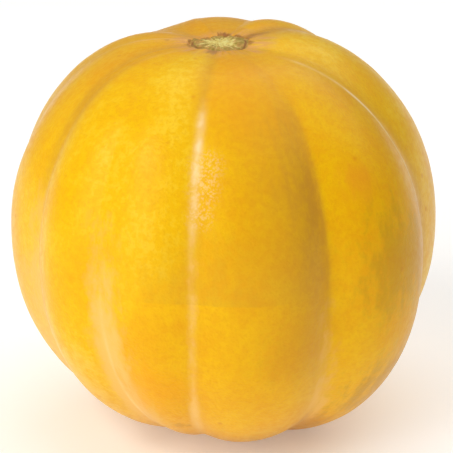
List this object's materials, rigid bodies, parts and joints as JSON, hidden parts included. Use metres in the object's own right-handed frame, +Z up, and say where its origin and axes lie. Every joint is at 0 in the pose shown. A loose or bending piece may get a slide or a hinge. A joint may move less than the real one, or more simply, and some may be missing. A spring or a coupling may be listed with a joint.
{
  "type": "cantaloupe melon",
  "caption": "Whole round melon with broad lobes between shallow sutures, smooth golden rind and a pale corky stem scar in a hollow, standing on a small flat spot.",
  "frame": {"origin": "middle of the fruit's footprint, on the surface that it rests on", "axes": "+Z up from the blossom end to the stem scar, -Y towards the front, +X to the fruit's right as seen from the front"},
  "size_m": [0.1512, 0.1504, 0.1439],
  "materials": {
    "rind": "satin"
  },
  "bodies": {
    "root": {"melon": "rind"}
  },
  "joints": []
}
